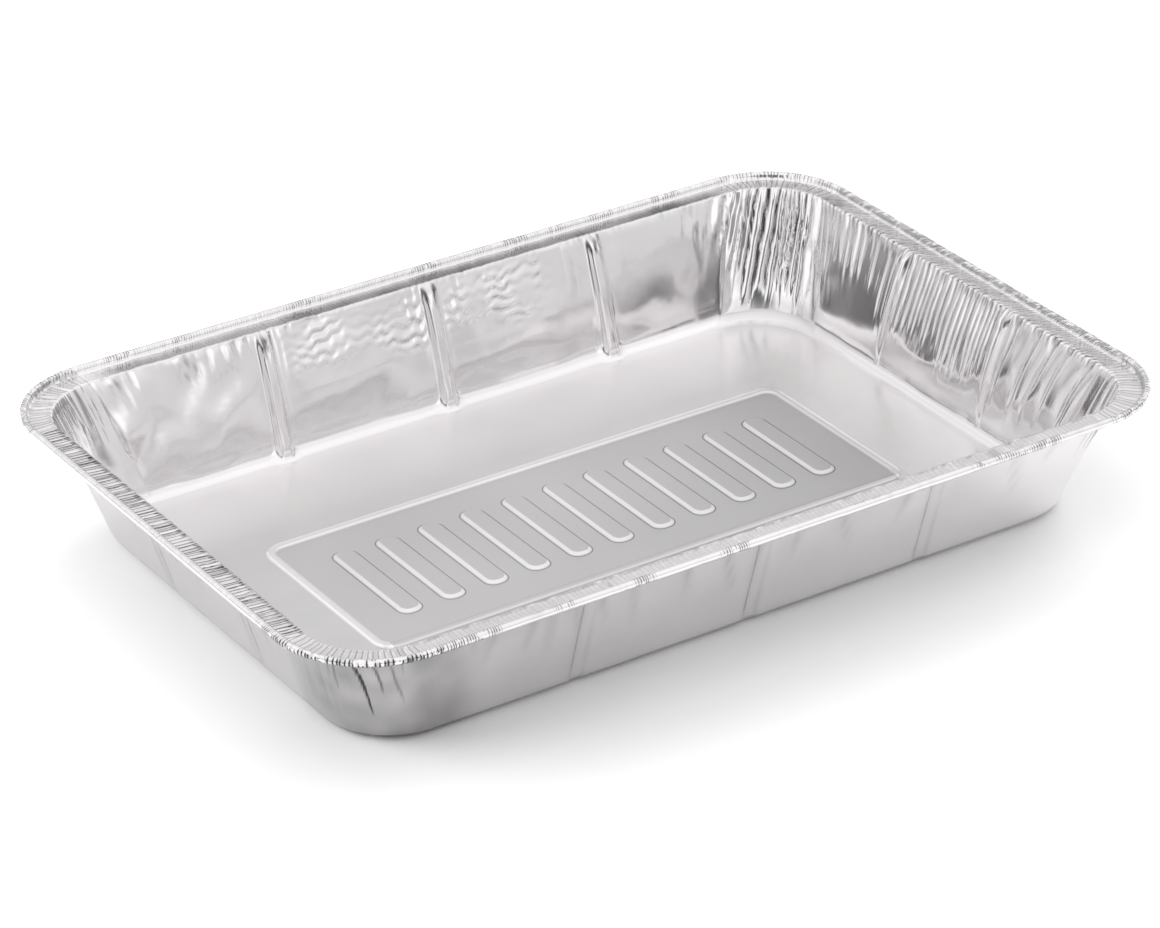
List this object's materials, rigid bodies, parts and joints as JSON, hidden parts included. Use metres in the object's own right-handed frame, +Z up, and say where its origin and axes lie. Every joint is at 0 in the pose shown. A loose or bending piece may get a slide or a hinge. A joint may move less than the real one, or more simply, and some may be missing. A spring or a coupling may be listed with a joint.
{
  "type": "foil drip pan",
  "caption": "Shallow rectangular foil pan with sloping ribbed walls, pleated corners, a flat shelf with a rolled edge, and a framed field of raised ribs on its floor.",
  "frame": {"origin": "middle of the underside of the floor, on the surface that the pan rests on", "axes": "+X along the long side, +Y along the short side, +Z up out of the open top"},
  "size_m": [0.34, 0.236, 0.0474],
  "materials": {
    "foil": "bright soft rolled foil, satin on the framed part of the floor"
  },
  "bodies": {
    "root": {"pan": "foil"}
  },
  "joints": []
}
